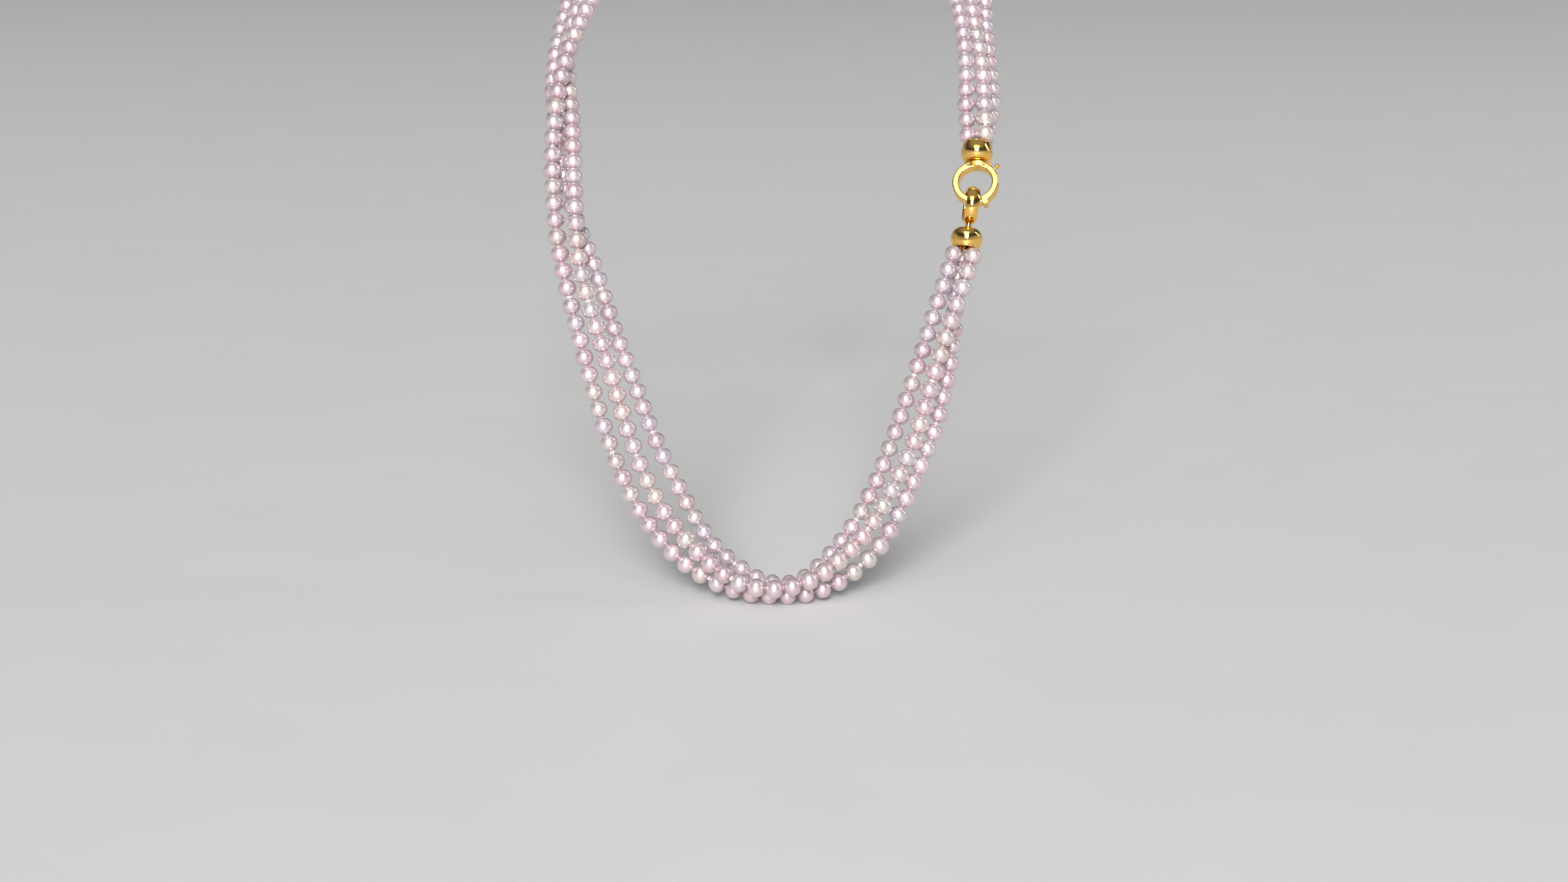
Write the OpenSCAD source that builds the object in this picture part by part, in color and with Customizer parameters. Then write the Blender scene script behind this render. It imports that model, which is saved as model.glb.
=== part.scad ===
// Three-strand pearl necklace, worn: it rests round the back of a neck, hangs over both
// shoulders and lies on the chest. A swivel ring clasp joins the strands high on one side.
// The origin is where the innermost strand touches the back of the neck. +Z is up, +X is to
// the viewer's right and +Y points into the neck from the front.

/* [Pearls] */
// Usual spacing of the pearls of the outer and middle strands
pearl_pitch = 4.27; // [4.2:0.01:4.35]
// Usual spacing of the smaller pearls of the inner strand
inner_pitch = 4.12; // [4.0:0.01:4.25]
// Space that the silk knot takes between two pearls
knot_gap = 0.14; // [0.12:0.01:0.2]
// Radius of the drilled hole
hole_r = 0.35; // [0.3:0.01:0.4]
// How much smaller the smallest pearls are, as a share of the radius
size_spread = 0.02; // [0:0.005:0.03]

/* [Silk] */
// Radius of the silk thread
thread_r = 0.2; // [0.15:0.01:0.25]
// Radius of a silk knot
knot_r = 0.5; // [0.4:0.05:0.6]
// Extra room at a larger tied knot
tie_room = 0.3; // [0.2:0.05:0.4]
// Pearls from one tied knot to the next
tie_every = 9; // [6:1:12]
// Extra room at the shoulder, where the front lifts
hinge_room = 0.32; // [0.3:0.01:0.4]

/* [Clasp ring] */
// Middle radius of the round ring
ring_mid_r = 4.8; // [4.7:0.05:4.9]
// Radial thickness of the ring
ring_wall = 1.6; // [1.5:0.05:1.7]
// Width of the ring along its own axis
ring_depth = 2.9; // [2.6:0.1:3]
// Angle from the +X side up to where the gate closes
gate_tip_angle = 54; // [51:1:55]
// Angle from the +X side down to where the gate is hinged
gate_root_angle = 64; // [61:1:67]
// How far the ring is turned on its swivel
ring_turn = 12; // [8:1:15]

/* [Link] */
// Outer radius of the closed link
link_outer_r = 4.6; // [4.55:0.05:4.7]
// Radial thickness of the link
link_wall = 1.2; // [1.1:0.05:1.25]
// Width of the link along its own axis
link_depth = 3.1; // [2.9:0.1:3.2]

/* [Bell caps] */
// Widest radius of a cap
cap_r = 3.85; // [3.8:0.05:3.95]
// Height of a cap
cap_h = 4.75; // [4.65:0.05:4.85]
// Wall thickness of a cap
cap_wall = 0.3; // [0.25:0.05:0.35]

/* [Hidden] */
$fn = 36;

// The neck rest, measured from the lowest point of the front, where the routes are measured.
neck_rest = [0, 116, 152];

// Clasp: the ring's frame and the link's frame each have a centre, a lean into the chest and
// a roll to the side. Their own Z runs up the line of the necklace and -Y faces outwards.
ring_at = [46.4, 37.9, 94.3];
ring_lean = 33;
ring_roll = 4;
link_at = [45.1, 34.6, 89.5];
link_lean = 22;
link_roll = 8.5;

function tip_x(p, a) = [p[0], p[1] * cos(a) - p[2] * sin(a), p[1] * sin(a) + p[2] * cos(a)];
function tip_y(p, a) = [p[0] * cos(a) + p[2] * sin(a), p[1], p[2] * cos(a) - p[0] * sin(a)];
function ring_point(p) = ring_at + tip_y(tip_x(p, -ring_lean), ring_roll);
function link_point(p) = link_at + tip_y(tip_x(p, -link_lean), link_roll);

// Heights along the ring's and the link's own Z.
swivel_play = 0.05;
ring_outer_r = ring_mid_r + ring_wall / 2;
upper_base = ring_outer_r + swivel_play;
upper_mouth = upper_base + cap_h;
stem_h = 1.1;
lower_base = -link_outer_r - stem_h;
lower_mouth = lower_base - cap_h;
cap_waist = 2.4;
cap_base_r = 1.4;
cap_floor = 0.5;
upper_mouth_r = 3.4;
lower_mouth_r = 3.2;
bar_r = 0.3;
bar_height = 2.1;
end_knot_r = 0.8;

// Where each strand's last gap sits at a cap's mouth, as X and Y in that cap's frame.
mouth_rise = 0.2;
upper_slots = [[-2.2, -0.3], [1.7, -2.1], [1.65, 2.15]];
lower_slots = [[-0.2, 2.7], [2.2, -1.3], [-2.5, -1.1]];
lead_in = 7;

function upper_gap(k) = ring_point([upper_slots[k][0], upper_slots[k][1], upper_mouth + mouth_rise]);
function upper_lead(k) = upper_gap(k) - ring_point([0, 0, lead_in]) + ring_at;
function lower_gap(k) = link_point([lower_slots[k][0], lower_slots[k][1], lower_mouth - mouth_rise]);
function lower_lead(k) = lower_gap(k) + link_point([0, 0, lead_in]) - link_at;

// Shoulder line, about which the whole front lifts. Every strand crosses it at a gap.
shoulder_y = 88;
shoulder_z = 145;
right_x = [41, 45.6, 50.2];
left_x = [-42, -46.6, -51.2];

// Routes of the strands, each from the upper cap over the right shoulder, round the back of
// the neck, over the left shoulder, down the left side and up the right side to the lower cap.
tail_a = [[44.4, 49, 112.5], [44.7, 55.5, 121.5], [44.3, 63.5, 130], [42.8, 75, 138.5]];
tail_b = [[49, 49.5, 112.5], [48.9, 58, 121], [47.8, 67.5, 129.5], [46.7, 78.5, 138.5]];
tail_c = [[51.4, 53.5, 110.5], [51.4, 61, 119], [50.8, 69.5, 127], [51, 79.5, 136.3]];
back_a = [[37, 100, 148.5], [23, 112, 151], [0, 118, 152], [-23, 112, 151], [-37, 100, 148.5]];
back_b = [[41.5, 102, 147], [26, 115.5, 148.5], [0, 122, 149], [-26, 115.5, 148.5],
  [-41.5, 102, 147]];
back_c = [[46, 104, 145], [29, 119, 145.5], [0, 126, 146], [-29, 119, 145.5], [-46, 104, 145]];
front_a = [[-46, 78, 140.5], [-49.5, 69, 134], [-53, 59.5, 125.5], [-55.5, 51.5, 115],
  [-56.3, 45, 105.5], [-56, 38, 95], [-54.5, 31, 82], [-51.5, 25.5, 69], [-48, 20.5, 56.5],
  [-43.5, 15.5, 41], [-38.5, 11, 28], [-32, 8, 17], [-23, 5, 8], [-12, 1, 3.2], [0, -0.6, 2.2],
  [9, 1.6, 3], [17, 4, 7], [24, 6.5, 14], [30.3, 10.2, 26], [35.3, 14.3, 37], [38, 18.5, 46],
  [40, 22.5, 55], [41, 27, 63], [41.5, 30, 71]];
front_b = [[-50, 80, 138.5], [-53, 72, 131.5], [-54.5, 65, 123.5], [-53.2, 57, 115.5],
  [-52, 49.5, 108], [-51.2, 41, 99], [-50.2, 32, 88], [-49, 26.5, 77], [-46.5, 23.5, 67],
  [-42.5, 19.5, 55.5], [-37, 14.2, 38], [-32, 10.5, 26], [-25.5, 6.5, 16.5], [-16, 0, 8.5],
  [-9, -3.8, 5.5], [-1, -5, 5], [7, -3.2, 7], [14, 0.5, 11.5], [20, 4.8, 17], [26, 8.4, 26.5],
  [31, 12, 37], [34.5, 15.5, 48], [38, 19, 59], [41, 22.5, 67], [43.2, 25, 73]];
front_c = [[-54.5, 82, 136.5], [-56.5, 74, 128.5], [-57.5, 66, 121], [-57.5, 58, 113.5],
  [-56, 50.5, 105.5], [-54, 43.5, 96.5], [-50.5, 36.5, 86], [-45.5, 30, 75], [-41, 24.5, 62],
  [-36, 19, 50], [-31, 14, 37.5], [-25.5, 10.5, 26.5], [-18, 6.5, 14], [-10.5, 4.6, 7.3],
  [-5, 4, 4.2], [1, 3.9, 3.4], [6, 4.2, 5.6], [11, 5.2, 10.5], [17, 7.3, 18], [23, 11, 29.5],
  [28, 15.5, 42.5], [32.5, 20, 55], [36.5, 24.5, 67]];

function shoulder(x) = [x, shoulder_y, shoulder_z];
function route(k) = concat(
  [upper_lead(k), upper_gap(k)],
  [tail_a, tail_b, tail_c][k],
  [shoulder(right_x[k])],
  [back_a, back_b, back_c][k],
  [shoulder(left_x[k])],
  [front_a, front_b, front_c][k],
  [lower_gap(k), lower_lead(k)]);

// Places in a route: where the upper cap, the two shoulders and the lower cap come.
function right_index(k) = 2 + len([tail_a, tail_b, tail_c][k]);
function left_index(k) = right_index(k) + 1 + len([back_a, back_b, back_c][k]);
function end_index(k) = left_index(k) + 1 + len([front_a, front_b, front_c][k]);

// A smooth curve through the route's points.
steps = 12;
function curve(p, i, t) = (2 * p[i] + (p[i + 1] - p[i - 1]) * t
  + (2 * p[i - 1] - 5 * p[i] + 4 * p[i + 1] - p[i + 2]) * t * t
  + (3 * p[i] - p[i - 1] - 3 * p[i + 1] + p[i + 2]) * t * t * t) / 2;
function samples(p, first, last) = concat(
  [for (i = [first : last - 1]) for (j = [0 : steps - 1]) curve(p, i, j / steps)],
  [p[last]]);
function distances(q) = [
  for (i = 0, s = 0; i < len(q); i = i + 1, s = i < len(q) ? s + norm(q[i] - q[i - 1]) : s) s
];
function tables(q, s) = [for (c = [0 : 2]) [for (i = [0 : len(q) - 1]) [s[i], q[i][c]]]];
function place(table, s) = [for (t = table) lookup(s, t)];

// A stretch of a strand is a list of gaps: [point, extra room], with a pearl between each two.
function stretch_ends(k, part) = [
  [1, right_index(k)], [right_index(k), left_index(k)], [left_index(k), end_index(k)]
][part];
function start_room(part) = part == 0 ? 0 : hinge_room;
function end_room(part) = part == 2 ? 0 : hinge_room;
function room(i, n, part) = i == 0 ? start_room(part)
  : i == n ? end_room(part)
  : i % tie_every == tie_every - 3 && n > tie_every ? tie_room : 0;
function gap_rooms(n, part) = [for (i = [0 : n]) room(i, n, part)];
function sum(v, i = 0, total = 0) = i == len(v) ? total : sum(v, i + 1, total + v[i]);
function pitch_of(k) = k == 2 ? inner_pitch : pearl_pitch;

function stretch(k, part) =
  let (q = samples(route(k), stretch_ends(k, part)[0], stretch_ends(k, part)[1]))
  let (s = distances(q))
  let (length = s[len(s) - 1])
  let (n = round(length / (pitch_of(k) + tie_room / tie_every)))
  let (rooms = gap_rooms(n, part))
  let (pitch = (length - sum(rooms) + (rooms[0] + rooms[n]) / 2) / n)
  let (table = tables(q, s))
  [
    for (i = 0, at = 0; i <= n;
      at = at + pitch + rooms[i] / 2 + (i < n ? rooms[i + 1] : 0) / 2, i = i + 1)
    [place(table, min(at, length)), rooms[i], pitch]
  ];

module aim(from, to) {
  d = (to - from) / norm(to - from);
  rotate([0, acos(d[2]), atan2(d[1], d[0])])
    children();
}

// Pearls: drilled balls, one between each two gaps.
function pearl_centre(a, b) = a[0] + (b[0] - a[0]) * (a[1] + a[2]) / (a[1] + b[1] + 2 * a[2]);
function pearl_r(pitch, i) = (pitch - knot_gap) / 2 * (1 - size_spread * (1 + sin(i * 137)) / 2);

module pearl(r) {
  difference() {
    sphere(r);
    cylinder(r = hole_r, h = 3 * r, center = true);
  }
}

module pearls(k, part) {
  gaps = stretch(k, part);
  color(["mistyrose", "linen", "lavenderblush"][k])
    for (i = [0 : len(gaps) - 2])
      translate(pearl_centre(gaps[i], gaps[i + 1]) - neck_rest)
        aim(gaps[i][0], gaps[i + 1][0])
          pearl(pearl_r(gaps[i][2], i));
}

// Knots: one in each gap between two pearls of a stretch. The gaps on the shoulder line stay
// free to bend, and those at the caps have their knot inside the cap.
tie_r = 0.45;
module knots(k, part) {
  gaps = stretch(k, part);
  color("seashell")
    for (i = [1 : len(gaps) - 2])
      translate(gaps[i][0] - neck_rest)
        aim(gaps[i - 1][0], gaps[i + 1][0])
          cylinder(
            r = gaps[i][1] > 0 ? tie_r : knot_r,
            h = knot_gap + gaps[i][1],
            center = true);
}

// Silk: one tube through each stretch, with a ring of points at every gap.
tube_sides = 8;
function unit(v) = v / norm(v);
function heading(q, i) = unit(q[min(i + 1, len(q) - 1)] - q[max(i - 1, 0)]);
function carried(side, t) = unit(side - (side * t) * t);
function sides(q) = [
  for (i = 0, side = carried([0.3, 0.5, -0.8], heading(q, 0)); i < len(q);
    i = i + 1, side = i < len(q) ? carried(side, heading(q, i)) : side)
  side
];
function ring_of(c, side, t, r) = [
  for (j = [0 : tube_sides - 1])
  let (a = j * 360 / tube_sides)
  c + r * (cos(a) * side + sin(a) * cross(t, side))
];

module tube(q, r) {
  side = sides(q);
  n = tube_sides;
  points = [for (i = [0 : len(q) - 1]) each ring_of(q[i], side[i], heading(q, i), r)];
  walls = [
    for (i = [0 : len(q) - 2]) for (j = [0 : n - 1])
    [i * n + j, i * n + (j + 1) % n, (i + 1) * n + (j + 1) % n, (i + 1) * n + j]
  ];
  start = [for (j = [0 : n - 1]) n - 1 - j];
  end = [for (j = [0 : n - 1]) (len(q) - 1) * n + j];
  polyhedron(points, [for (f = concat(walls, [start, end])) [for (i = [len(f) - 1 : -1 : 0]) f[i]]]);
}

// The silk stops inside the last pearl on each side of the shoulder line.
hinge_clear = (knot_gap + hinge_room) / 2 + 0.05;
function pulled_in(from, to) = from + hinge_clear * unit(to - from);
function silk_path(k, part) =
  let (g = stretch(k, part))
  let (n = len(g) - 1)
  let (middle = [for (i = [1 : n - 1]) g[i][0]])
  part == 0 ? concat([upper_anchor(k), g[0][0]], middle, [pulled_in(g[n][0], g[n - 1][0])])
  : part == 1 ? concat([pulled_in(g[0][0], g[1][0])], middle, [pulled_in(g[n][0], g[n - 1][0])])
  : concat([pulled_in(g[0][0], g[1][0])], middle, [g[n][0], lower_anchor(k)]);
anchor_share = 0.15;
function upper_anchor(k) = ring_point([
  upper_slots[k][0] * anchor_share, upper_slots[k][1] * anchor_share, upper_base + bar_height]);
function lower_anchor(k) = link_point([
  lower_slots[k][0] * anchor_share, lower_slots[k][1] * anchor_share, lower_base - bar_height]);

module silk(k, part) {
  color("white")
    tube([for (p = silk_path(k, part)) p - neck_rest], thread_r);
}

// Frames of the clasp.
module in_ring_frame() {
  translate(ring_at - neck_rest)
    rotate([0, ring_roll, 0])
      rotate([-ring_lean, 0, 0])
        children();
}

module in_link_frame() {
  translate(link_at - neck_rest)
    rotate([0, link_roll, 0])
      rotate([-link_lean, 0, 0])
        children();
}

module on_swivel() {
  in_ring_frame()
    rotate([0, 0, -ring_turn])
      children();
}

// Bell caps: a bowl of two arcs that meet at its waist, with a rolled rim at its mouth.
rim_r = 0.18;
module bowl_section(mouth_r, inset) {
  low_c = (cap_r ^ 2 - cap_base_r ^ 2 - cap_waist ^ 2) / (2 * (cap_r - cap_base_r));
  rise = cap_h - cap_waist;
  drop = cap_r - mouth_r;
  high_r = (rise ^ 2 + drop ^ 2) / (2 * drop);
  floor_h = inset > 0 ? cap_floor : 0;
  intersection() {
    translate([low_c, cap_waist])
      circle(cap_r - low_c - inset, $fn = 96);
    translate([low_c, floor_h])
      square([cap_r, cap_waist - floor_h]);
  }
  translate([0, floor_h])
    square([low_c, cap_waist - floor_h]);
  intersection() {
    translate([cap_r - high_r, cap_waist])
      circle(high_r - inset, $fn = 180);
    translate([0, cap_waist])
      square([cap_r, cap_h - cap_waist + inset]);
  }
}

module bell_cap(mouth_r) {
  rotate_extrude($fn = 72)
    difference() {
      bowl_section(mouth_r, 0);
      bowl_section(mouth_r, cap_wall);
    }
  translate([0, 0, cap_h])
    rotate_extrude($fn = 72)
      translate([mouth_r - cap_wall / 2, 0])
        circle(rim_r, $fn = 24);
}

rivet_r = 0.5;
module upper_cap() {
  color("gold")
    in_ring_frame()
      translate([0, 0, upper_base])
        difference() {
          bell_cap(upper_mouth_r);
          cylinder(r = rivet_r + swivel_play, h = 2 * cap_floor + 0.2, center = true);
        }
}

module lower_cap() {
  color("gold")
    in_link_frame()
      translate([0, 0, lower_base])
        mirror([0, 0, 1])
          difference() {
            bell_cap(lower_mouth_r);
            cylinder(r = rivet_r, h = 2 * cap_floor + 0.2, center = true);
          }
}

module anchor_bar() {
  rotate([0, 90, 0])
    cylinder(r = bar_r, h = 2 * (cap_r - cap_wall - 0.05), center = true);
}

module upper_anchor_bar() {
  color("goldenrod")
    in_ring_frame()
      translate([0, 0, upper_base + bar_height])
        anchor_bar();
}

module lower_anchor_bar() {
  color("goldenrod")
    in_link_frame()
      translate([0, 0, lower_base - bar_height])
        anchor_bar();
}

module upper_end_knot() {
  color("white")
    in_ring_frame()
      translate([0, 0, upper_base + bar_height])
        sphere(end_knot_r);
}

module lower_end_knot() {
  color("white")
    in_link_frame()
      translate([0, 0, lower_base - bar_height])
        sphere(end_knot_r);
}

// Ring: a flat-faced band with softly rounded edges, cut into a fixed body and a gate.
edge_r = 0.35;
module band_section(wall, depth, r) {
  square([wall, depth - 2 * r], center = true);
  square([wall - 2 * r, depth], center = true);
  for (x = [-1, 1])
    for (y = [-1, 1])
      translate([x * (wall / 2 - r), y * (depth / 2 - r)])
        circle(r, $fn = 24);
}

module ring_arc(from, to) {
  rotate([90, 0, 0])
    rotate([0, 0, from])
      rotate_extrude(angle = to - from, $fn = 96)
        translate([ring_mid_r, 0])
          band_section(ring_wall, ring_depth, edge_r);
}

gate_play = 0.12;
play_angle = gate_play / ring_mid_r * 180 / PI;
hinge_r = 0.62;
hinge_out = 0.25;
hinge_pin_r = 0.3;
gate_knuckle = 1.1;
knuckle_play = 0.08;
hinge_at = [
  (ring_outer_r + hinge_out) * cos(gate_root_angle), 0,
  -(ring_outer_r + hinge_out) * sin(gate_root_angle)
];

module across(r, length, y = 0) {
  translate([0, y, 0])
    rotate([90, 0, 0])
      cylinder(r = r, h = length, center = true);
}

module at_hinge() {
  translate(hinge_at)
    children();
}

side_knuckle = (ring_depth - gate_knuckle) / 2 - knuckle_play;
side_y = (ring_depth - side_knuckle) / 2;
module ring_body() {
  color("gold")
    on_swivel()
      difference() {
        union() {
          difference() {
            ring_arc(gate_tip_angle + play_angle / 2, 360 - gate_root_angle - play_angle / 2);
            at_hinge()
              across(hinge_r + knuckle_play, gate_knuckle + 2 * knuckle_play);
          }
          at_hinge()
            for (side = [-1, 1])
              across(hinge_r, side_knuckle, side * side_y);
        }
        at_hinge()
          across(hinge_pin_r, 2 * ring_depth);
        translate([0, 0, ring_mid_r])
          cylinder(r = rivet_r, h = ring_wall);
      }
}

module gate() {
  color("gold")
    on_swivel()
      difference() {
        union() {
          difference() {
            ring_arc(-gate_root_angle + play_angle / 2, gate_tip_angle - play_angle / 2);
            at_hinge()
              for (side = [-1, 1])
                across(hinge_r + knuckle_play, side_knuckle + 2 * knuckle_play, side * side_y);
          }
          at_hinge()
            across(hinge_r, gate_knuckle);
        }
        at_hinge()
          across(hinge_pin_r + swivel_play, 2 * ring_depth);
        nib_place(gate_nib_angle)
          cylinder(r = gate_stalk_r, h = nib_root);
      }
}

pin_overhang = 0.1;
module gate_hinge_pin() {
  color("goldenrod")
    on_swivel()
      at_hinge()
        across(hinge_pin_r, ring_depth + 2 * pin_overhang);
}

// Nibs: a ball on the gate and a small bead on the ring, pulled apart to open the gate.
gate_nib_angle = 42;
ring_nib_angle = 57;
nib_root = 0.5;
gate_stalk_r = 0.3;
gate_ball_r = 0.6;
gate_ball_out = 1.2;
ring_bead_r = 0.35;
ring_bead_out = 0.75;
ring_stalk_r = 0.18;
module nib_place(angle) {
  rotate([0, 90 - angle, 0])
    translate([0, 0, ring_outer_r - nib_root])
      children();
}

module gate_nib() {
  color("gold")
    on_swivel()
      nib_place(gate_nib_angle) {
        cylinder(r = gate_stalk_r, h = nib_root + gate_ball_out);
        translate([0, 0, nib_root + gate_ball_out])
          sphere(gate_ball_r);
      }
}

module ring_nib() {
  color("gold")
    on_swivel()
      nib_place(ring_nib_angle) {
        translate([0, 0, nib_root])
          cylinder(r = ring_stalk_r, h = ring_bead_out);
        translate([0, 0, nib_root + ring_bead_out])
          sphere(ring_bead_r);
      }
}

// Collar: a lens-shaped saddle over the top of the ring, with two flanges and a groove between.
collar_r = 3;
collar_half = 1.85;
collar_bow = 7;
collar_low = 4.2;
collar_play = 0.05;
flange_h = 0.5;
flange_lap = 0.1;
groove_in = 0.2;
saddle_play = 0.01;
module collar_layer(inset, from, h) {
  translate([0, 0, from])
    intersection() {
      cylinder(r = collar_r - inset, h = h, $fn = 120);
      translate([0, collar_bow - collar_half, -flange_lap])
        cylinder(r = collar_bow - inset, h = h + 2 * flange_lap, $fn = 240);
      translate([0, collar_half - collar_bow, -flange_lap])
        cylinder(r = collar_bow - inset, h = h + 2 * flange_lap, $fn = 240);
    }
}

module ring_collar() {
  collar_h = ring_outer_r - collar_play - collar_low;
  color("gold")
    on_swivel()
      difference() {
        translate([0, 0, collar_low]) {
          collar_layer(0, 0, flange_h);
          collar_layer(groove_in, flange_lap, collar_h - 2 * flange_lap);
          collar_layer(0, collar_h - flange_h, flange_h);
        }
        rotate([90, 0, 0])
          rotate_extrude($fn = 240)
            translate([ring_mid_r, 0])
              square([ring_wall + 2 * saddle_play, ring_depth + 2 * saddle_play], center = true);
      }
}

// Swivel rivet: fixed in the top of the ring, turning in the floor of the upper cap.
rivet_head_r = 1;
rivet_head_h = 0.35;
module swivel_rivet() {
  color("goldenrod")
    on_swivel()
      translate([0, 0, ring_mid_r]) {
        shank = upper_base + cap_floor + swivel_play - ring_mid_r;
        cylinder(r = rivet_r, h = shank + rivet_head_h);
        translate([0, 0, shank])
          cylinder(r = rivet_head_r, h = rivet_head_h);
      }
}

// Link: a closed band with a domed outside, which hangs from the bottom of the ring.
link_dome_r = 2.6;
link_edge_r = 0.5;
module link() {
  mid_r = link_outer_r - link_wall / 2;
  color("gold")
    in_link_frame()
      difference() {
        rotate([0, 90, 0])
          rotate_extrude($fn = 96)
            intersection() {
              translate([mid_r, 0])
                band_section(link_wall, link_depth, link_edge_r);
              translate([link_outer_r - link_dome_r, 0])
                circle(link_dome_r, $fn = 96);
            }
        translate([0, 0, -link_outer_r - head_lift])
          cylinder(r = rivet_r + swivel_play, h = link_wall + 2 * head_lift);
      }
}

// Stem: a turned post on the lower cap whose end is riveted inside the link.
bead_r = 0.85;
bead_h = 0.32;
foot_r = 1.05;
foot_lift = 0.03;
stem_head_r = 0.9;
head_lift = 0.2;
module stem() {
  color("gold")
    in_link_frame()
      translate([0, 0, lower_base - cap_floor]) {
        post = cap_floor + stem_h + link_wall + head_lift;
        cylinder(r = rivet_r, h = post + rivet_head_h);
        translate([0, 0, cap_floor + foot_lift])
          cylinder(r = foot_r, h = bead_h);
        translate([0, 0, cap_floor + stem_h - bead_h - swivel_play])
          cylinder(r = bead_r, h = bead_h);
        translate([0, 0, post])
          cylinder(r = stem_head_r, h = rivet_head_h);
      }
}

pearls(0, 0);  // pearls_a_tail
pearls(0, 1);  // pearls_a_back
pearls(0, 2);  // pearls_a_front
pearls(1, 0);  // pearls_b_tail
pearls(1, 1);  // pearls_b_back
pearls(1, 2);  // pearls_b_front
pearls(2, 0);  // pearls_c_tail
pearls(2, 1);  // pearls_c_back
pearls(2, 2);  // pearls_c_front
knots(0, 0);  // knots_a_tail
knots(0, 1);  // knots_a_back
knots(0, 2);  // knots_a_front
knots(1, 0);  // knots_b_tail
knots(1, 1);  // knots_b_back
knots(1, 2);  // knots_b_front
knots(2, 0);  // knots_c_tail
knots(2, 1);  // knots_c_back
knots(2, 2);  // knots_c_front
silk(0, 0);  // silk_a_tail
silk(0, 1);  // silk_a_back
silk(0, 2);  // silk_a_front
silk(1, 0);  // silk_b_tail
silk(1, 1);  // silk_b_back
silk(1, 2);  // silk_b_front
silk(2, 0);  // silk_c_tail
silk(2, 1);  // silk_c_back
silk(2, 2);  // silk_c_front
upper_cap();
upper_anchor_bar();
upper_end_knot();
ring_body();
ring_collar();
ring_nib();
swivel_rivet();
gate();
gate_nib();
gate_hinge_pin();
link();
stem();
lower_cap();
lower_anchor_bar();
lower_end_knot();
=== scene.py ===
"""Three-strand pearl necklace with a gold ring clasp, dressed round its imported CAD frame."""

import math

import bpy
import numpy as np
from mathutils import Matrix, Vector


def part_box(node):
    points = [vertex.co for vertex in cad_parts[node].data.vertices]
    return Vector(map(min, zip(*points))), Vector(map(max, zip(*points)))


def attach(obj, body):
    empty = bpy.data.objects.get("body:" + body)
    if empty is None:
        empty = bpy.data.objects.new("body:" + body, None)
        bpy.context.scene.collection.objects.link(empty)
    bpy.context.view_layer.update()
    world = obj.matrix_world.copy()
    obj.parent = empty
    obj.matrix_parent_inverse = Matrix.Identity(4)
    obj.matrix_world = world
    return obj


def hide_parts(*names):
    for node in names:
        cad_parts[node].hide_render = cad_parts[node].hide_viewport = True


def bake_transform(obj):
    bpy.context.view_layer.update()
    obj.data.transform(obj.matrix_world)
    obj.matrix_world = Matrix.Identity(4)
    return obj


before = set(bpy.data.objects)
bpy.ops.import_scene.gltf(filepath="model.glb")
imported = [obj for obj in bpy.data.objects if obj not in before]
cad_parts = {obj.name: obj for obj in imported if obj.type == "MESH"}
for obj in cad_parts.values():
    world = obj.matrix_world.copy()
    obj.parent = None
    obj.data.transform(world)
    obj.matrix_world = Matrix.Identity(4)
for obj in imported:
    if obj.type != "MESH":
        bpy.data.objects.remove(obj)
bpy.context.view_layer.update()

rng = np.random.default_rng(2024)
MM = 0.001

CAMERA_PLACE = (0.0, -0.6796, 0.022)  # in front of the back of the neck, in metres
CAMERA_DOWN = 13.43  # degrees below level
CAMERA_LENS = 57.27  # mm, on a sensor 36 mm wide
CAMERA_CLIP = (0.01, 50.0)  # metres

camera_data = bpy.data.cameras.new("camera")
camera_data.sensor_width = 36.0
camera_data.lens = CAMERA_LENS
camera_data.clip_start, camera_data.clip_end = CAMERA_CLIP
camera = bpy.data.objects.new("camera", camera_data)
camera.location = CAMERA_PLACE
camera.rotation_euler = (math.radians(90 - CAMERA_DOWN), 0.0, 0.0)
bpy.context.scene.collection.objects.link(camera)
bpy.context.scene.camera = camera


# ---------------------------------------------------------------- mesh helpers
class Bundle:
    """Points, faces and one colour per point, gathered for one mesh object."""

    def __init__(self):
        self.points, self.faces, self.tones, self.count = [], [], [], 0

    def add(self, points, faces, tone):
        """Adds faces of three or four corners, numbered from the first of these points."""
        faces = faces.tolist() if isinstance(faces, np.ndarray) else faces
        self.points.append(points)
        self.faces.extend([corner + self.count for corner in face] for face in faces)
        self.tones.append(np.tile(np.array([*tone, 1.0]), (len(points), 1)))
        self.count += len(points)

    def build(self, name, material, body=None, slot=None, replaced=()):
        mesh = bpy.data.meshes.new(name)
        mesh.from_pydata(np.concatenate(self.points).tolist(), [], self.faces)
        mesh.update()
        layer = mesh.color_attributes.new("tone", "FLOAT_COLOR", "POINT")
        layer.data.foreach_set("color", np.concatenate(self.tones).astype(np.float32).ravel())
        mesh.shade_smooth()
        mesh.materials.append(material)
        made = bpy.data.objects.new(name, mesh)
        bpy.context.scene.collection.objects.link(made)
        if body:
            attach(made, body)
        if replaced:
            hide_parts(*replaced)
        return made


NEAR_X = 0.8  # share of a direction along X from which Y is the safer axis to turn from


def unit(v):
    return v / np.linalg.norm(v)


def axes_for(direction, turn=0.0):
    """A 3 x 3 matrix whose third column is direction, turned about it."""
    d = unit(np.asarray(direction, float))
    helper = np.array([1.0, 0.0, 0.0] if abs(d[0]) < NEAR_X else [0.0, 1.0, 0.0])
    a = unit(np.cross(helper, d))
    b = np.cross(d, a)
    return np.column_stack([
        math.cos(turn) * a + math.sin(turn) * b,
        math.cos(turn) * b - math.sin(turn) * a,
        d,
    ])


def grid_faces(rings, sides, closed=False):
    """Quads between rings of points; closed joins the last ring to the first."""
    last = rings if closed else rings - 1
    i, j = np.meshgrid(np.arange(last), np.arange(sides), indexing="ij")
    k, n = (j + 1) % sides, (i + 1) % rings
    return np.stack([i * sides + j, i * sides + k, n * sides + k, n * sides + j], -1).reshape(-1, 4)


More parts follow.
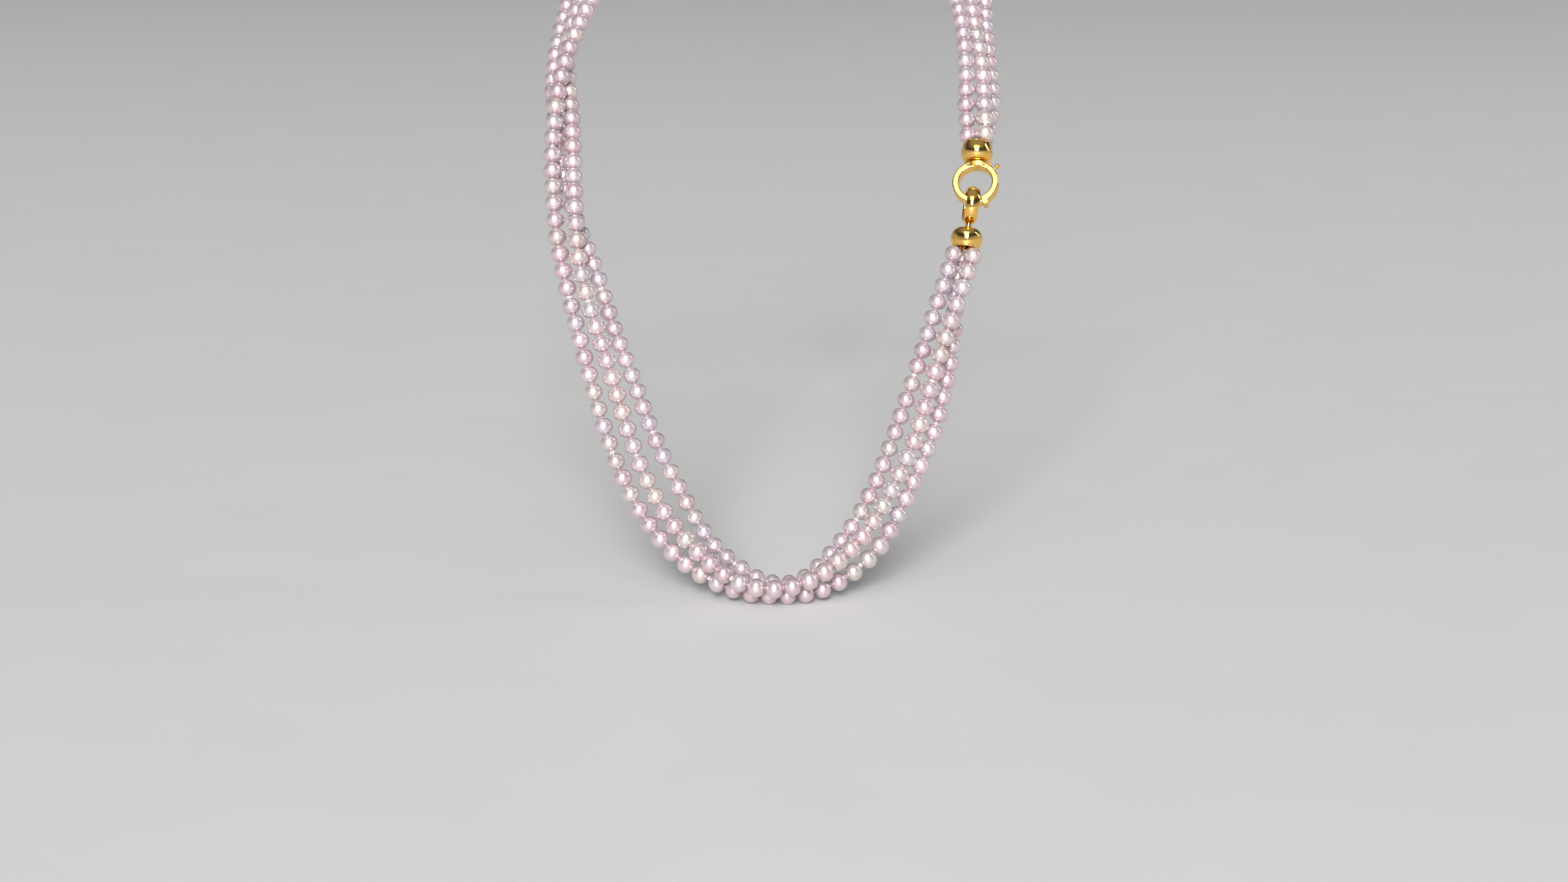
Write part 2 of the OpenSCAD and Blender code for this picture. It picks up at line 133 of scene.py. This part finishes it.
def tube(path, radius, sides, closed=False, lobe=0.0, twist=0.0):
    """A tube of that radius along path. lobe pinches it to a two-ply section that turns
    twist radians a metre."""
    path = np.asarray(path, float)
    n = len(path)
    if closed:
        heading = np.roll(path, -1, 0) - np.roll(path, 1, 0)
    else:
        heading = np.gradient(path, axis=0)
    heading /= np.linalg.norm(heading, axis=1)[:, None]
    side = axes_for(heading[0])[:, 0]
    run, rings = 0.0, []
    for i in range(n):
        if i:
            run += np.linalg.norm(path[i] - path[i - 1])
        side = unit(side - side.dot(heading[i]) * heading[i])
        other = np.cross(heading[i], side)
        a = np.arange(sides) * 2 * math.pi / sides
        r = radius * (1 - lobe * np.sin(a - twist * run) ** 2)
        rings.append(path[i] + (r * np.cos(a))[:, None] * side + (r * np.sin(a))[:, None] * other)
    faces = grid_faces(n, sides, closed).tolist()
    if closed:
        return np.concatenate(rings), faces
    first, last, end = n * sides, n * sides + 1, (n - 1) * sides
    for j in range(sides):
        k = (j + 1) % sides
        faces.append([first, k, j])
        faces.append([last, end + j, end + k])
    return np.concatenate([*rings, path[:1], path[-1:]]), faces


# ---------------------------------------------------------------- reading the strands
OUTER_SHARE = 0.93  # points at least this share of the way out are on the ball, not in its bore


def loose_balls(node):
    """Centre and radius of every ball in a CAD node, fitted to its outer points."""
    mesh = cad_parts[node].data
    co = np.empty(len(mesh.vertices) * 3)
    mesh.vertices.foreach_get("co", co)
    co = co.reshape(-1, 3)
    _, first, same = np.unique(np.round(co, 7), axis=0, return_index=True, return_inverse=True)
    same = same.ravel()
    pairs = np.empty(len(mesh.edges) * 2, int)
    mesh.edges.foreach_get("vertices", pairs)
    pairs = same[pairs].reshape(-1, 2)
    label = np.arange(len(first))
    while True:
        low = np.minimum(label[pairs[:, 0]], label[pairs[:, 1]])
        new = label.copy()
        np.minimum.at(new, pairs[:, 0], low)
        np.minimum.at(new, pairs[:, 1], low)
        new = new[new]
        if (new == label).all():
            break
        label = new
    points = co[first]
    balls = []
    for part in np.unique(label):
        p = points[label == part]
        middle = (p.max(0) + p.min(0)) / 2
        far = np.linalg.norm(p - middle, axis=1)
        p = p[far > OUTER_SHARE * far.max()]
        a = np.column_stack([2 * p, np.ones(len(p))])
        x = np.linalg.lstsq(a, (p ** 2).sum(1), rcond=None)[0]
        balls.append((x[:3], math.sqrt(x[3] + x[:3].dot(x[:3]))))
    return balls


def in_order(balls, start):
    """The balls as a chain, each next to the last, from the one nearest to start."""
    left, here, chain = list(balls), np.asarray(start, float), []
    while left:
        k = min(range(len(left)), key=lambda i: np.linalg.norm(left[i][0] - here))
        here = left[k][0]
        chain.append(left.pop(k))
    return chain


def middle_of(node):
    lo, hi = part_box(node)
    return np.array((lo + hi) / 2)


HINGE = np.array([0.0, -28.0, -7.0]) * MM  # a point on the shoulder line
RIGHT_SHOULDER = np.array([45.6, 0.0, 0.0]) * MM
LEFT_SHOULDER = np.array([-46.6, 0.0, 0.0]) * MM
BODY = {"tail": "front", "back": "back", "front": "front"}
START = {
    "tail": middle_of("upper_cap"),
    "back": HINGE + RIGHT_SHOULDER,
    "front": HINGE + LEFT_SHOULDER,
}
CAP_GAP = 0.07 * MM  # from the end pearl to where the thread's run ends, at a cap
SHOULDER_GAP = 0.23 * MM  # the same at the shoulder line


class Stretch:
    """One stretch of a strand: its pearls in order, their bores and the gaps between them."""

    def __init__(self, strand, part):
        chain = in_order(loose_balls(f"pearls_{strand}_{part}"), START[part])
        self.centre = np.array([c for c, _ in chain])
        self.radius = np.array([r for _, r in chain])
        c = self.centre
        bore = np.empty_like(c)
        bore[1:-1] = c[2:] - c[:-2]
        bore[0] = 3 * (c[1] - c[0]) - (c[2] - c[1])
        bore[-1] = 3 * (c[-1] - c[-2]) - (c[-2] - c[-3])
        self.bore = bore / np.linalg.norm(bore, axis=1)[:, None]
        span = np.linalg.norm(c[1:] - c[:-1], axis=1)
        self.room = span - self.radius[1:] - self.radius[:-1]
        self.along = (c[1:] - c[:-1]) / span[:, None]
        self.gap = c[:-1] + self.along * (self.radius[:-1] + self.room / 2)[:, None]
        first = CAP_GAP if part == "tail" else SHOULDER_GAP
        last = CAP_GAP if part == "front" else SHOULDER_GAP
        self.first = c[0] - self.bore[0] * (self.radius[0] + first)
        self.last = c[-1] + self.bore[-1] * (self.radius[-1] + last)


stretches = {(s, p): Stretch(s, p) for s in "abc" for p in ("tail", "back", "front")}


# ---------------------------------------------------------------- materials
CLOUD_MOST = 0.55  # how far the clouds take a pearl from its body colour to the overtone
VEIL = (0.93, 0.88, 0.86, 1)  # a thin pale veil over all of them
VEIL_MOST = 0.08
NACRE_ROUGH = (0.28, 0.36)
NACRE_DEPTH = (1.0, 0.62, 0.55)  # how deep red, green and blue light goes in
PIT_SCALE = 620
PIT_EDGE = (0.02, 0.09)  # share of a cell over which a pit's side rises
SILK_SHADE = (0.86, 0.74, 0.73, 1)
SILK_ROUGH = (0.5, 0.72)
HAIR_STRETCH = (1.0, 0.09, 0.6)  # long across one axis, so that the noise makes hairlines
CROSS_STRETCH = (0.08, 1.0, 0.9)

# A mix node has a set of sockets for each kind of data. These are the ones for colours.
MIX_INPUTS = (0, 6, 7)
MIX_RESULT = 2


class Shading:
    """Short calls for one material's shader nodes. A noise's scale is in waves a metre, and a
    bump's distance in metres."""

    def __init__(self, name):
        self.material = bpy.data.materials.new(name)
        self.material.use_nodes = True
        self.tree = self.material.node_tree
        self.shader = self.tree.nodes["Principled BSDF"]
        self.object_space = self.node("ShaderNodeTexCoord").outputs["Object"]

    def node(self, kind, **values):
        made = self.tree.nodes.new(kind)
        for key, value in values.items():
            setattr(made, key, value)
        return made

    def link(self, source, target):
        self.tree.links.new(source, target)

    def set(self, **values):
        for key, value in values.items():
            self.shader.inputs[key.replace("_", " ")].default_value = value

    def noise(self, scale, detail=2.0, roughness=0.5, distortion=0.0, stretch=None):
        made = self.node("ShaderNodeTexNoise")
        made.inputs["Scale"].default_value = scale
        made.inputs["Detail"].default_value = detail
        made.inputs["Roughness"].default_value = roughness
        made.inputs["Distortion"].default_value = distortion
        source = self.object_space
        if stretch:
            mapping = self.node("ShaderNodeMapping")
            mapping.inputs["Scale"].default_value = stretch
            self.link(source, mapping.inputs["Vector"])
            source = mapping.outputs["Vector"]
        self.link(source, made.inputs["Vector"])
        return made.outputs["Fac"]

    def ramp(self, source, low, high, to_low, to_high):
        made = self.node("ShaderNodeMapRange")
        keys = ("From Min", "From Max", "To Min", "To Max")
        for key, value in zip(keys, (low, high, to_low, to_high)):
            made.inputs[key].default_value = value
        self.link(source, made.inputs["Value"])
        return made.outputs["Result"]

    def mix(self, factor, a, b, blend="MIX"):
        made = self.node("ShaderNodeMix", data_type="RGBA", blend_type=blend)
        for number, value in zip(MIX_INPUTS, (factor, a, b)):
            if isinstance(value, bpy.types.NodeSocket):
                self.link(value, made.inputs[number])
            else:
                made.inputs[number].default_value = value
        return made.outputs[MIX_RESULT]

    def bump(self, height, strength, distance, under=None):
        made = self.node("ShaderNodeBump")
        made.inputs["Strength"].default_value = strength
        made.inputs["Distance"].default_value = distance
        self.link(height, made.inputs["Height"])
        if under:
            self.link(under, made.inputs["Normal"])
        return made.outputs["Normal"]


def pearl_material(name, overtone, sheen):
    """Nacre: a milky body with a soft broad lustre under a thin clear gloss."""
    n = Shading(name)
    tone = n.node("ShaderNodeAttribute", attribute_name="tone").outputs["Color"]
    clouds = n.ramp(n.noise(520, 3.0, 0.6, 0.4), 0.38, 0.64, 0.0, CLOUD_MOST)
    colour = n.mix(clouds, tone, n.mix(1.0, tone, overtone, "MULTIPLY"))
    veil = n.ramp(n.noise(2600, 2.0), 0.3, 0.7, 0.0, VEIL_MOST)
    colour = n.mix(veil, colour, VEIL)
    n.link(colour, n.shader.inputs["Base Color"])
    n.link(n.ramp(n.noise(900, 2.0), 0.3, 0.7, *NACRE_ROUGH), n.shader.inputs["Roughness"])
    cells = n.node("ShaderNodeTexVoronoi", feature="F1")
    cells.inputs["Scale"].default_value = PIT_SCALE
    n.link(n.object_space, cells.inputs["Vector"])
    pits = n.ramp(cells.outputs["Distance"], *PIT_EDGE, 0.0, 1.0)
    fine = n.bump(n.noise(5200, 3.0, 0.6), 0.04, 2e-5)
    n.link(n.bump(pits, 0.12, 3e-5, fine), n.shader.inputs["Normal"])
    n.set(Metallic=0.68, IOR=1.53, Subsurface_Weight=0.22, Subsurface_Scale=0.0009,
          Coat_Weight=0.85, Coat_Roughness=0.07, Coat_IOR=1.6, Sheen_Weight=0.12,
          Sheen_Roughness=0.35)
    n.shader.inputs["Subsurface Radius"].default_value = NACRE_DEPTH
    n.shader.inputs["Sheen Tint"].default_value = sheen
    return n.material


def silk_material():
    """White silk thread with a pale pink cast and fine fibres."""
    n = Shading("silk_thread")
    shade = n.ramp(n.noise(2400, 3.0), 0.3, 0.7, 0.0, 1.0)
    tone = n.node("ShaderNodeAttribute", attribute_name="tone").outputs["Color"]
    colour = n.mix(shade, tone, n.mix(1.0, tone, SILK_SHADE, "MULTIPLY"))
    n.link(colour, n.shader.inputs["Base Color"])
    n.link(n.ramp(n.noise(3500), 0.3, 0.7, *SILK_ROUGH), n.shader.inputs["Roughness"])
    fibres = n.bump(n.noise(9000, 2.0), 0.4, 2e-5)
    n.link(fibres, n.shader.inputs["Normal"])
    n.set(Sheen_Weight=0.35, Sheen_Roughness=0.4, Subsurface_Weight=0.15,
          Subsurface_Scale=0.0004)
    return n.material


def gold_material(name, light, deep, smooth, worn):
    """Polished yellow gold: faint cloudiness, hairline scratches and small dings. smooth and
    worn are its roughness between the scratches and in them."""
    n = Shading(name)
    clouds = n.ramp(n.noise(700, 3.0, 0.6), 0.35, 0.7, 0.0, 1.0)
    n.link(n.mix(clouds, light, deep), n.shader.inputs["Base Color"])
    hairs = n.noise(900, 2.0, 0.6, 0.0, HAIR_STRETCH)
    cross = n.noise(1100, 2.0, 0.6, 0.0, CROSS_STRETCH)
    scratches = n.node("ShaderNodeMath", operation="MULTIPLY")
    n.link(n.ramp(hairs, 0.55, 0.72, 0.0, 1.0), scratches.inputs[0])
    n.link(n.ramp(cross, 0.35, 0.75, 0.2, 1.0), scratches.inputs[1])
    n.link(n.ramp(scratches.outputs[0], 0.0, 1.0, smooth, worn), n.shader.inputs["Roughness"])
    low = n.bump(n.noise(420, 2.0), 0.12, 4e-5)
    n.link(n.bump(scratches.outputs[0], 0.1, 1e-5, low), n.shader.inputs["Normal"])
    n.set(Metallic=1.0)
    return n.material


# Slot, material name, overtone and sheen of each strand's pearls.
NACRES = {
    "a": ("pearl_rose", "nacre_rose", (0.98, 0.84, 0.89, 1), (1.0, 0.82, 0.86, 1)),
    "b": ("pearl_cream", "nacre_cream", (0.98, 0.88, 0.84, 1), (1.0, 0.88, 0.84, 1)),
    "c": ("pearl_lilac", "nacre_lilac", (0.95, 0.84, 0.93, 1), (0.98, 0.84, 0.92, 1)),
}
PEARL = {strand: (slot, pearl_material(*look)) for strand, (slot, *look) in NACRES.items()}
SILK = silk_material()
GOLD = gold_material("gold_polished", (1.0, 0.65, 0.19, 1), (0.97, 0.57, 0.14, 1), 0.06, 0.18)
GOLD_INNER = gold_material("gold_satin", (0.98, 0.64, 0.22, 1), (0.88, 0.50, 0.14, 1), 0.2, 0.36)

# ---------------------------------------------------------------- pearls
SIDES = 28
HOLE = 0.35 * MM
EDGE = 0.07 * MM  # rounding where the hole meets the ball
EDGE_RINGS = ((0.0, 2.2), (0.0, 1.0), (0.3, 0.25))  # out from the hole and down, in EDGEs
EDGE_TURNS = (0.0, 0.12, 0.27)  # radians from the hole's edge, where the rings lie close
BALL_TURN = 0.45  # radians from the hole's edge, where even rings begin
BALL_RINGS = 12
ACROSS = 1.11  # the pearls are a little wider across the bore than along it
ALONG = 1.03
WOBBLES = ((0.012, 1), (0.007, 2), (0.004, 3))  # size as a share of the radius, and waves
WOBBLE_RATE = 1.7
FADE = 0.5  # share of the radius over which being out of round comes in, from the hole
TURN = 6.3  # a little over a full turn, in radians


def pearl_profile(radius):
    """Distance from the bore and height along it, from inside one end of the bore, over its
    rounded edge and the ball, to inside the other end."""
    top = math.sqrt(radius ** 2 - (HOLE + EDGE) ** 2)
    edge = [(HOLE + x * EDGE, top - z * EDGE) for x, z in EDGE_RINGS]
    first = math.asin((HOLE + EDGE) / radius)
    turns = np.concatenate([
        first + np.array(EDGE_TURNS),
        np.linspace(first + BALL_TURN, math.pi - first - BALL_TURN, BALL_RINGS),
        math.pi - first - np.array(EDGE_TURNS[::-1]),
    ])
    ball = [(radius * math.sin(t), radius * math.cos(t)) for t in turns]
    return np.array(edge + ball + [(x, -z) for x, z in reversed(edge)])


def pearl_mesh(centre, direction, radius):
    """A drilled pearl that is slightly out of round, in its own way."""
    profile = pearl_profile(radius)
    a = np.arange(SIDES) * 2 * math.pi / SIDES
    x = profile[:, 0][:, None] * np.cos(a)
    y = profile[:, 0][:, None] * np.sin(a)
    z = np.repeat(profile[:, 1][:, None], SIDES, 1)
    p = np.stack([x, y, z], -1).reshape(-1, 3)
    out = np.linalg.norm(p[:, :2], axis=1)
    away = np.clip((out - HOLE - EDGE) / (FADE * radius), 0, 1)[:, None]
    n = p / np.linalg.norm(p, axis=1)[:, None]
    swell = np.zeros(len(p))
    for size, waves in WOBBLES:
        for _ in range(2):
            d = unit(rng.normal(size=3))
            height = rng.uniform(-1, 1)
            swell += size * height * np.cos(waves * WOBBLE_RATE * (n @ d) + rng.uniform(0, TURN))
    p = p * (1 + away * swell[:, None])
    p *= np.concatenate([1 + (ACROSS - 1) * np.repeat(away, 2, 1), np.full((len(p), 1), ALONG)], 1)
    points = p @ axes_for(direction, rng.uniform(0, TURN)).T + centre
    return points, grid_faces(len(profile), SIDES, True)


# Body colours of nacre, and how often each strand has them: rose, blush, cream, silver, green.
NACRE = np.array([
    [0.60, 0.465, 0.505],
    [0.63, 0.52, 0.56],
    [0.63, 0.535, 0.515],
    [0.58, 0.515, 0.57],
    [0.58, 0.54, 0.51],
])
SHARES = {"a": [5, 4, 1, 2, 1], "b": [3, 4, 3, 2, 1], "c": [4, 4, 2, 3, 1]}
BLEND_MOST = 0.35  # how far a pearl's colour may lie towards another one
SHADE = (0.93, 1.04)
PALEST = 0.95


def pearl_tone(strand):
    """A body colour between two of the strand's colours, a little darker or paler."""
    share = np.array(SHARES[strand], float)
    colour = NACRE[rng.choice(len(NACRE), p=share / share.sum())]
    other = NACRE[rng.integers(len(NACRE))]
    colour = colour + (other - colour) * rng.uniform(0, BLEND_MOST)
    return np.clip(colour * rng.uniform(*SHADE), 0, PALEST)


for (strand, part), s in stretches.items():
    bundle = Bundle()
    for centre, direction, radius in zip(s.centre, s.bore, s.radius):
        bundle.add(*pearl_mesh(centre, direction, radius), pearl_tone(strand))
    slot, material = PEARL[strand]
    bundle.build(f"nacre_{strand}_{part}", material, BODY[part], slot, [f"pearls_{strand}_{part}"])

# ---------------------------------------------------------------- silk
THREAD = 0.2 * MM  # radius
THREAD_SIDES = 8
PLY_TURN = 1.6 * MM  # length of one full turn of the two plies
PLY_PINCH = 0.42
STEP = 0.45 * MM
BEND_STEP = 0.1 * MM
WHITE = (0.82, 0.74, 0.74)  # thread and tied knots
KNOT_IN_PAINTED_SHADE = (0.52, 0.39, 0.41)  # small knots: darker and pinker than the thread, painted shade, tinted pink, from the pearls they lie between
FADED = (0.9, 1.0)
KNOT_STEPS = 34
KNOT_SIDES = 6
KNOT_THREAD = 0.13 * MM
KNOT_FLATTEST = 0.02 * MM
TIED_ROOM = 0.3 * MM  # a gap between two pearls that is wider than this holds a tied knot
TIED = ((0.6, 0.68), 0.2)  # least and most radius, and how far it presses past the gap, in mm
SMALL = ((0.54, 0.62), 0.14)
INSIDE = 0.3 * MM  # how far past a bore's mouth the thread's ends lie
END_KNOT = (0.8 * MM, 0.9 * MM, 0.2 * MM)  # radius, depth and thread of each loop
END_LOOPS = ((0.2, 0.3, 1.0), (1.0, 0.2, -0.3), (0.1, -1.0, 0.4))


def knot_mesh(centre, direction, outer, depth, thread):
    """An overhand knot pulled tight: a three-lobed loop of thread, squashed between two pearls."""
    t = np.arange(KNOT_STEPS) * 2 * math.pi / KNOT_STEPS
    scale = (outer - thread) / 3  # the loop below reaches 3 at its widest
    p = np.stack([
        (np.sin(t) + 2 * np.sin(2 * t)) * scale,
        (np.cos(t) - 2 * np.cos(2 * t)) * scale,
        -np.sin(3 * t) * max(depth / 2 - 0.6 * thread, KNOT_FLATTEST),
    ], -1)
    points, faces = tube(p, thread, KNOT_SIDES, closed=True)
    points[:, 2] = np.clip(points[:, 2], -depth / 2, depth / 2)
    return points @ axes_for(direction, rng.uniform(0, TURN)).T + centre, faces


def thread_through(bundle, corners, step=STEP):
    """Two-ply thread, straight between corners."""
    path = [corners[0]]
    for a, b in zip(corners[:-1], corners[1:]):
        n = max(1, round(np.linalg.norm(b - a) / step))
        path.extend(a + (b - a) * i / n for i in range(1, n + 1))
    thread = tube(path, THREAD, THREAD_SIDES, lobe=PLY_PINCH, twist=2 * math.pi / PLY_TURN)
    bundle.add(*thread, WHITE)


ANCHOR = {"tail": middle_of("upper_anchor_bar"), "front": middle_of("lower_anchor_bar")}
for (strand, part), s in stretches.items():
    knots = Bundle()
    for point, direction, room in zip(s.gap, s.along, s.room):
        tied = room > TIED_ROOM
        across, press = TIED if tied else SMALL
        outer = rng.uniform(*across) * MM
        depth = room + press * MM
        # Small knots get the darker, pinker colour: painted shade, tinted pink, between the pearls.
        knots.add(*knot_mesh(point, direction, outer, depth, KNOT_THREAD),
                  np.array(WHITE if tied else KNOT_IN_PAINTED_SHADE) * rng.uniform(*FADED))
    knots.build(f"knot_run_{strand}_{part}", SILK, BODY[part], "silk", [f"knots_{strand}_{part}"])

    into = s.first + s.bore[0] * (SHOULDER_GAP + INSIDE)
    out_of = s.last - s.bore[-1] * (SHOULDER_GAP + INSIDE)
    if part == "tail":
        corners = [ANCHOR["tail"], s.first, *s.gap, out_of]
    elif part == "front":
        corners = [into, *s.gap, s.last, ANCHOR["front"]]
    else:
        corners = [into, *s.gap, out_of]
    silk = Bundle()
    thread_through(silk, corners)
    silk.build(f"thread_{strand}_{part}", SILK, BODY[part], "silk", [f"silk_{strand}_{part}"])

# The thread bends at the shoulder line, in the gap between the two pearls there.
shoulders = Bundle()
for strand in "abc":
    runs = [stretches[strand, p] for p in ("tail", "back", "front")]
    for before, after in zip(runs, runs[1:]):
        start = before.last - before.bore[-1] * (SHOULDER_GAP + 2 * INSIDE)
        end = after.first + after.bore[0] * (SHOULDER_GAP + 2 * INSIDE)
        thread_through(shoulders, [start, (before.last + after.first) / 2, end], BEND_STEP)
bridge = shoulders.build("thread_shoulders", SILK, slot="silk")
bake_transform(bridge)

# End knots inside the caps.
for which in ("upper", "lower"):
    middle = middle_of(f"{which}_end_knot")
    ball = Bundle()
    for direction in END_LOOPS:
        ball.add(*knot_mesh(middle, direction, *END_KNOT), WHITE)
    ball.build(f"{which}_tied_end", SILK, "front", "silk", [f"{which}_end_knot"])

TUFT_OUT = 0.86  # how far out the tuft sits, as a share of the pearl's radius
TUFT_SHIFT = np.array([-0.1, 0.0, -0.1]) * MM
TUFT_TILT = (0.3, 0.0, 0.2)
TUFT_KNOT = (0.72 * MM, 0.8 * MM, 0.2 * MM)  # radius, depth and thread
TUFT_FIBRE = 0.075 * MM
TUFT_SIDES = 6
TUFT_STEPS = 7
TUFT_OUTWARD = 0.5
TUFT_SAG = np.array([0.0, 0.0, -0.25])
TUFT_CURL = 0.2
# Each end's run to the right, its run upwards, and its length in mm.
TUFT_ENDS = ((1.0, -0.25, 1.1), (0.8, 0.5, 0.7), (-0.7, 0.3, 0.6), (0.9, 0.1, 0.9),
             (-0.3, -0.8, 0.5))


def tuft_bundle(strand):
    """A tied knot and its frayed ends, at the joint nearest the upper cap."""
    run = stretches[strand, "tail"]
    side = np.cross(run.along[0], (1.0, 0.0, 0.0))
    side = unit(side if side[1] < 0 else -side)
    seat = run.gap[0] + side * TUFT_OUT * run.radius[0] + TUFT_SHIFT
    tuft = Bundle()
    tuft.add(*knot_mesh(seat, side + TUFT_TILT, *TUFT_KNOT), WHITE)
    steps = np.linspace(0, 1, TUFT_STEPS)[:, None]
    for right, up, length in TUFT_ENDS:
        away = np.array([right, 0.0, up]) + side * TUFT_OUTWARD
        bend = TUFT_SAG + side * rng.uniform(-TUFT_CURL, TUFT_CURL)
        path = seat + (away * steps + bend * steps ** 2) * length * MM
        tuft.add(*tube(path, TUFT_FIBRE, TUFT_SIDES), WHITE)
    return tuft


tuft_bundle("b").build("tied_tuft", SILK, "front", "silk")

# ---------------------------------------------------------------- gold
# Collar: an oval saddle over the top of the ring, with two rounded flanges and a groove.
RING_MIDDLE = np.array([46.4, -78.1, -57.7]) * MM
RING_TURNS = (("Y", 4.0), ("X", -33.0), ("Z", -12.0))  # axis and degrees
COLLAR_HALF = (3.04, 1.86)  # half its length and half its depth, in mm
COLLAR_POWER = 2.6  # 2 is an ellipse, more is squarer
COLLAR_SIDES = 96
# Height above the ring's middle and how far the outline is drawn in there, both in mm.
COLLAR_STEPS = ((4.2, 0.36), (4.22, 0.2), (4.28, 0.07), (4.36, 0.015), (4.45, 0.0), (4.54, 0.015),
                (4.62, 0.07), (4.67, 0.15), (4.71, 0.24), (4.77, 0.28), (4.88, 0.28), (4.94, 0.24),
                (4.98, 0.15), (5.03, 0.07), (5.12, 0.015), (5.25, 0.0), (5.38, 0.015), (5.47, 0.07),
                (5.53, 0.2), (5.55, 0.36))


def collar_mesh():
    """Rings of a flattened oval, stacked up the swivel's axis, closed by a fan at each end."""
    t = np.arange(COLLAR_SIDES) * 2 * math.pi / COLLAR_SIDES
    x, y = (np.sign(f) * np.abs(f) ** (2 / COLLAR_POWER) for f in (np.cos(t), np.sin(t)))
    half_x, half_y = COLLAR_HALF
    rings = [np.stack([x * (half_x - inset), y * (half_y - inset), np.full_like(x, z)], -1)
             for z, inset in COLLAR_STEPS]
    n = len(rings)
    faces = grid_faces(n, COLLAR_SIDES).tolist()
    bottom, top = n * COLLAR_SIDES, n * COLLAR_SIDES + 1
    for middle, ring in ((bottom, 0), (top, n - 1)):
        for j in range(COLLAR_SIDES):
            a, b = ring * COLLAR_SIDES + j, ring * COLLAR_SIDES + (j + 1) % COLLAR_SIDES
            faces.append([middle, b, a] if middle == bottom else [middle, a, b])
    ends = [[0, 0, COLLAR_STEPS[0][0]], [0, 0, COLLAR_STEPS[-1][0]]]
    turn = Matrix.Identity(3)
    for axis, degrees in RING_TURNS:
        turn = turn @ Matrix.Rotation(math.radians(degrees), 3, axis)
    return np.concatenate([*rings, ends]) * MM @ np.array(turn).T + RING_MIDDLE, faces


saddle = Bundle()
saddle.add(*collar_mesh(), WHITE)  # the gold doesn't read the tone
saddle.build("saddle_collar", GOLD, "ring", "gold", ["ring_collar"])

# The rest of the clasp is shown as the CAD has it.
SATIN_NODES = ("upper_anchor_bar", "lower_anchor_bar", "swivel_rivet")
POLISHED_NODES = ("upper_cap", "ring_body", "ring_nib", "gate", "gate_nib",
                  "gate_hinge_pin", "link", "stem", "lower_cap")
for node in POLISHED_NODES + SATIN_NODES:
    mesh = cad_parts[node].data
    mesh.materials.clear()
    mesh.materials.append(GOLD_INNER if node in SATIN_NODES else GOLD)

# ---------------------------------------------------------------- floor, light, world
FLOOR_Z = -0.152
FLOOR_HALF = 40
FLOOR_CORNERS = ((-1, -1), (1, -1), (1, 1), (-1, 1))
FLOOR_TONE = (0.51, 0.505, 0.50, 1)
FLOOR_DARKER = 0.98


def plain_material(name, colour):
    """Matt paper with the faintest clouds."""
    n = Shading(name)
    darker = [c * FLOOR_DARKER for c in colour[:3]] + [1]
    clouds = n.ramp(n.noise(30, 3.0), 0.3, 0.7, 0.0, 1.0)
    n.link(n.mix(clouds, colour, darker), n.shader.inputs["Base Color"])
    n.set(Roughness=0.6)
    return n.material


floor_mesh = bpy.data.meshes.new("floor")
floor_mesh.from_pydata([(x * FLOOR_HALF, y * FLOOR_HALF, FLOOR_Z) for x, y in FLOOR_CORNERS],
                       [], [(0, 1, 2, 3)])
floor_mesh.materials.append(plain_material("floor_paper", FLOOR_TONE))
floor = bpy.data.objects.new("floor", floor_mesh)
bpy.context.scene.collection.objects.link(floor)


AIM = Vector((0.0, -0.08, -0.07))  # the middle of the necklace
# Name, place, width and height in metres, and watts.
SOFTBOXES = (
    ("key", (-1.0, -11.1, 5.8), 5.1, 4.5, 2700.0),
    ("card", (-0.9, -6.9, 10.3), 7.8, 6.0, 360.0),
    ("spot", (0.0, -0.95, 0.14), 0.08, 0.08, 1.6),
    ("side", (3.2, 0.4, 1.6), 0.8, 2.2, 16.0),
)


def softbox(name, place, width, height, watts):
    """A white rectangle of light, turned to the necklace."""
    data = bpy.data.lights.new(name, "AREA")
    data.shape = "RECTANGLE"
    data.size, data.size_y = width, height
    data.energy = watts
    made = bpy.data.objects.new(name, data)
    made.location = place
    made.rotation_euler = (AIM - Vector(place)).to_track_quat("-Z", "Y").to_euler()
    bpy.context.scene.collection.objects.link(made)


for box in SOFTBOXES:
    softbox(*box)

# A dim room, the same all round: pale where it meets the floor, dark above that, and a soft
# ceiling. Heights are sines of the elevation, each with the strength there.
SKY = ((0.0, 0.5), (0.16, 0.42), (0.42, 0.05), (0.6, 0.07), (0.95, 0.32))
SKY_TONE = (0.97, 0.98, 1.0)
world = bpy.data.worlds.new("world")
world.use_nodes = True
sky = world.node_tree
looking = sky.nodes.new("ShaderNodeTexCoord")
height = sky.nodes.new("ShaderNodeSeparateXYZ")
sky.links.new(looking.outputs["Generated"], height.inputs[0])
rise = sky.nodes.new("ShaderNodeValToRGB")
rise.color_ramp.interpolation = "EASE"
while len(rise.color_ramp.elements) < len(SKY):
    rise.color_ramp.elements.new(0.5)
for stop, (at, strength) in zip(rise.color_ramp.elements, SKY):
    stop.position = at
    stop.color = (*(c * strength for c in SKY_TONE), 1)
sky.links.new(height.outputs["Z"], rise.inputs["Fac"])
sky.links.new(rise.outputs["Color"], sky.nodes["Background"].inputs["Color"])
bpy.context.scene.world = world
bpy.context.scene.view_settings.view_transform = "Standard"
